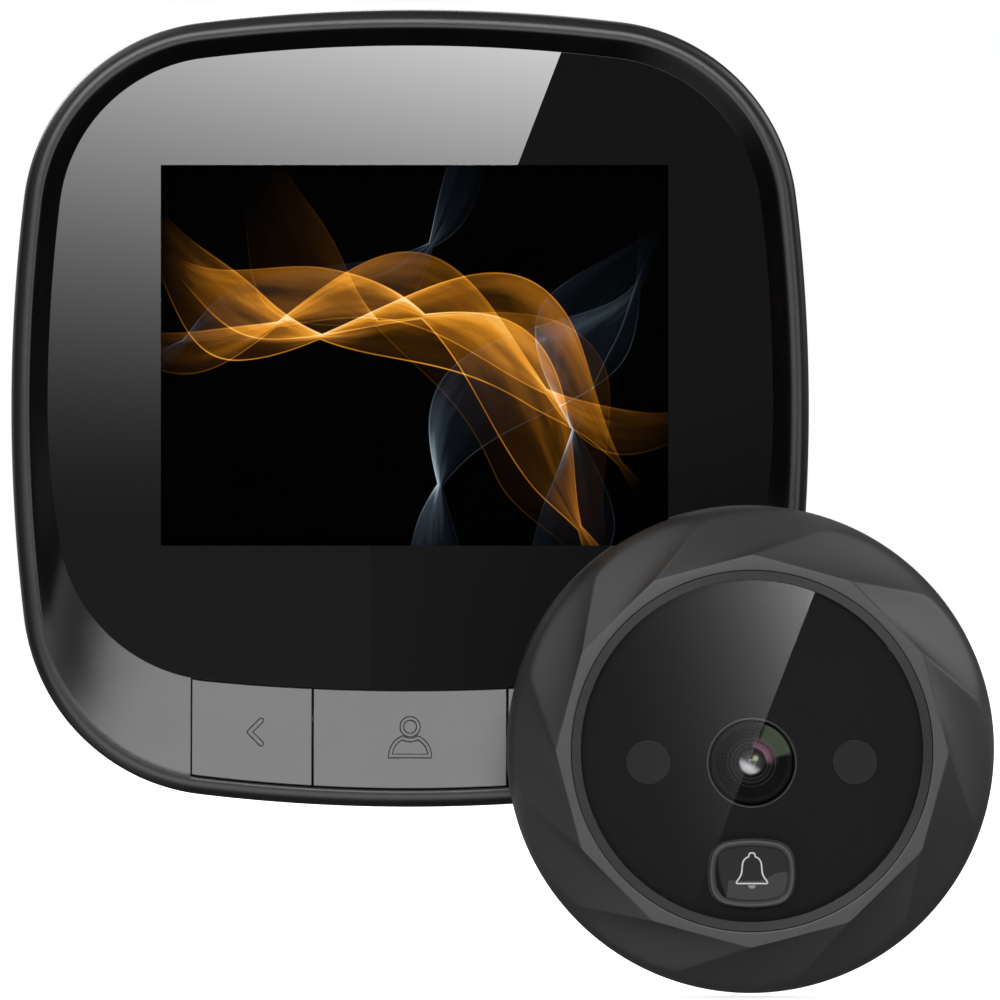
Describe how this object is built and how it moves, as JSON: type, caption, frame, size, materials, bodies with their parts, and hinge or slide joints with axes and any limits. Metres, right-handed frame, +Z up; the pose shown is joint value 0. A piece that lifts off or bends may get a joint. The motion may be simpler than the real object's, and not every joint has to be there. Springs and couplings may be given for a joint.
{
  "type": "digital door viewer",
  "caption": "Door viewer: square indoor screen unit with keys below the picture, hung on a door plate, and a round outdoor camera unit with a doorbell button.",
  "frame": {"origin": "On the door plate's back face, which rests on the inside of the door, behind the middle of the screen unit.", "axes": "+X to the viewer's right, +Y into the door, +Z up. The screen faces -Y, and the outdoor unit lies in front of the screen unit's lower right corner, facing -Y too."},
  "size_m": [0.1108, 0.0452, 0.1108],
  "materials": {
    "rim_black": "fine satin black moulding",
    "case_black": "fine spark-eroded black moulding",
    "key_grey": "satin grey paint with a fine metallic grain",
    "window_glass": "clear acrylic, printed black round the picture",
    "lcd_glass": "liquid crystal cell",
    "white_plastic": "white moulding",
    "inner_plastic": "plain black moulding",
    "knob_plastic": "satin black",
    "flex": "amber film",
    "board": "green solder mask",
    "chips": "moulded packages",
    "sensor": "sensor with its cover glass",
    "screw_steel": "zinc-plated steel",
    "plate_steel": "bright stamped steel",
    "magnet": "nickel-plated ferrite",
    "cone": "pressed paper",
    "card": "bare black card",
    "cell_sleeve": "plain shrink sleeve",
    "ring_grey": "satin anthracite with a fine grain",
    "housing_black": "plain black moulding",
    "insert_brass": "knurled brass",
    "rubber": "black rubber",
    "foam": "black closed-cell foam",
    "cover_glass": "clear hard-coated cover",
    "mask_black": "black print behind the glass",
    "ir_filter": "infrared-clear dark resin",
    "barrel": "black anodised",
    "lens_glass": "coated glass",
    "led_resin": "clear resin",
    "bell_cap": "satin grey-black",
    "bell_inlay": "gloss black with a white bell"
  },
  "bodies": {
    "door": {"door_plate": "plate_steel"},
    "monitor": {"front_frame": "rim_black", "rear_case": "case_black", "display_window": "window_glass", "lcd_panel": "lcd_glass", "lcd_backlight": "white_plastic", "lcd_cradle": "inner_plastic", "lcd_flex": "flex", "main_board": "board", "main_board_chips": "chips", "key_board": "board", "board_screws": "screw_steel", "key_switches": "inner_plastic", "speaker_basket": "plate_steel", "speaker_magnet": "magnet", "speaker_cone": "cone", "power_switch_body": "inner_plastic", "card_socket": "white_plastic", "link_socket": "white_plastic", "battery_cell_1": "cell_sleeve", "battery_cell_2": "cell_sleeve", "battery_cell_3": "cell_sleeve", "battery_contacts": "plate_steel", "battery_springs": "plate_steel", "case_screws": "screw_steel"},
    "back_key": {"key_back": "key_grey", "key_plunger_back": "inner_plastic"},
    "view_key": {"key_view": "key_grey", "key_plunger_view": "inner_plastic"},
    "next_key": {"key_next": "key_grey", "key_plunger_next": "inner_plastic"},
    "battery_door": {"battery_cover": "case_black"},
    "card": {"memory_card": "card"},
    "power_slider": {"power_switch_knob": "knob_plastic"},
    "outdoor_unit": {"bezel_ring": "ring_grey", "rear_housing": "housing_black", "clamp_inserts": "insert_brass", "seal_ring": "rubber", "foam_ring": "foam", "outdoor_screws": "screw_steel", "outdoor_board_screws": "screw_steel", "trim_ring": "ring_grey", "cover_glass": "cover_glass", "window_mask": "mask_black", "ir_windows": "ir_filter", "image_sensor": "sensor", "lens_holder": "inner_plastic", "lens_barrel": "barrel", "lens_rear": "lens_glass", "lens_front": "lens_glass", "lens_retainer": "barrel", "lens_filter": "lens_glass", "ir_leds": "led_resin", "outdoor_board": "board", "outdoor_socket": "white_plastic", "doorbell_switch": "inner_plastic"},
    "doorbell": {"doorbell_cap": "bell_cap", "doorbell_inlay": "bell_inlay", "doorbell_plunger": "inner_plastic"}
  },
  "joints": [
    {"name": "monitor_lift", "type": "slide", "parent": "door", "child": "monitor", "axis": [0, 0, 1], "range_m": [0, 0.004]},
    {"name": "back_key_press", "type": "slide", "parent": "monitor", "child": "back_key", "axis": [0, 1, 0], "range_m": [0, 0.0004], "stiffness_N_per_m": 800},
    {"name": "view_key_press", "type": "slide", "parent": "monitor", "child": "view_key", "axis": [0, 1, 0], "range_m": [0, 0.0004], "stiffness_N_per_m": 800},
    {"name": "next_key_press", "type": "slide", "parent": "monitor", "child": "next_key", "axis": [0, 1, 0], "range_m": [0, 0.0004], "stiffness_N_per_m": 800},
    {"name": "battery_cover_slide", "type": "slide", "parent": "monitor", "child": "battery_door", "axis": [0, 0, -1], "range_m": [0, 0.04]},
    {"name": "card_slide", "type": "slide", "parent": "monitor", "child": "card", "axis": [-1, 0, 0], "range_m": [0, 0.012]},
    {"name": "power_slide", "type": "slide", "parent": "monitor", "child": "power_slider", "axis": [0, 0, 1], "range_m": [0, 0.002]},
    {"name": "outdoor_slide", "type": "slide", "parent": "door", "child": "outdoor_unit", "axis": [1, 0, 0], "range_m": [0, 0.036]},
    {"name": "doorbell_press", "type": "slide", "parent": "outdoor_unit", "child": "doorbell", "axis": [0, 1, 0], "range_m": [0, 0.0006], "stiffness_N_per_m": 1000}
  ]
}
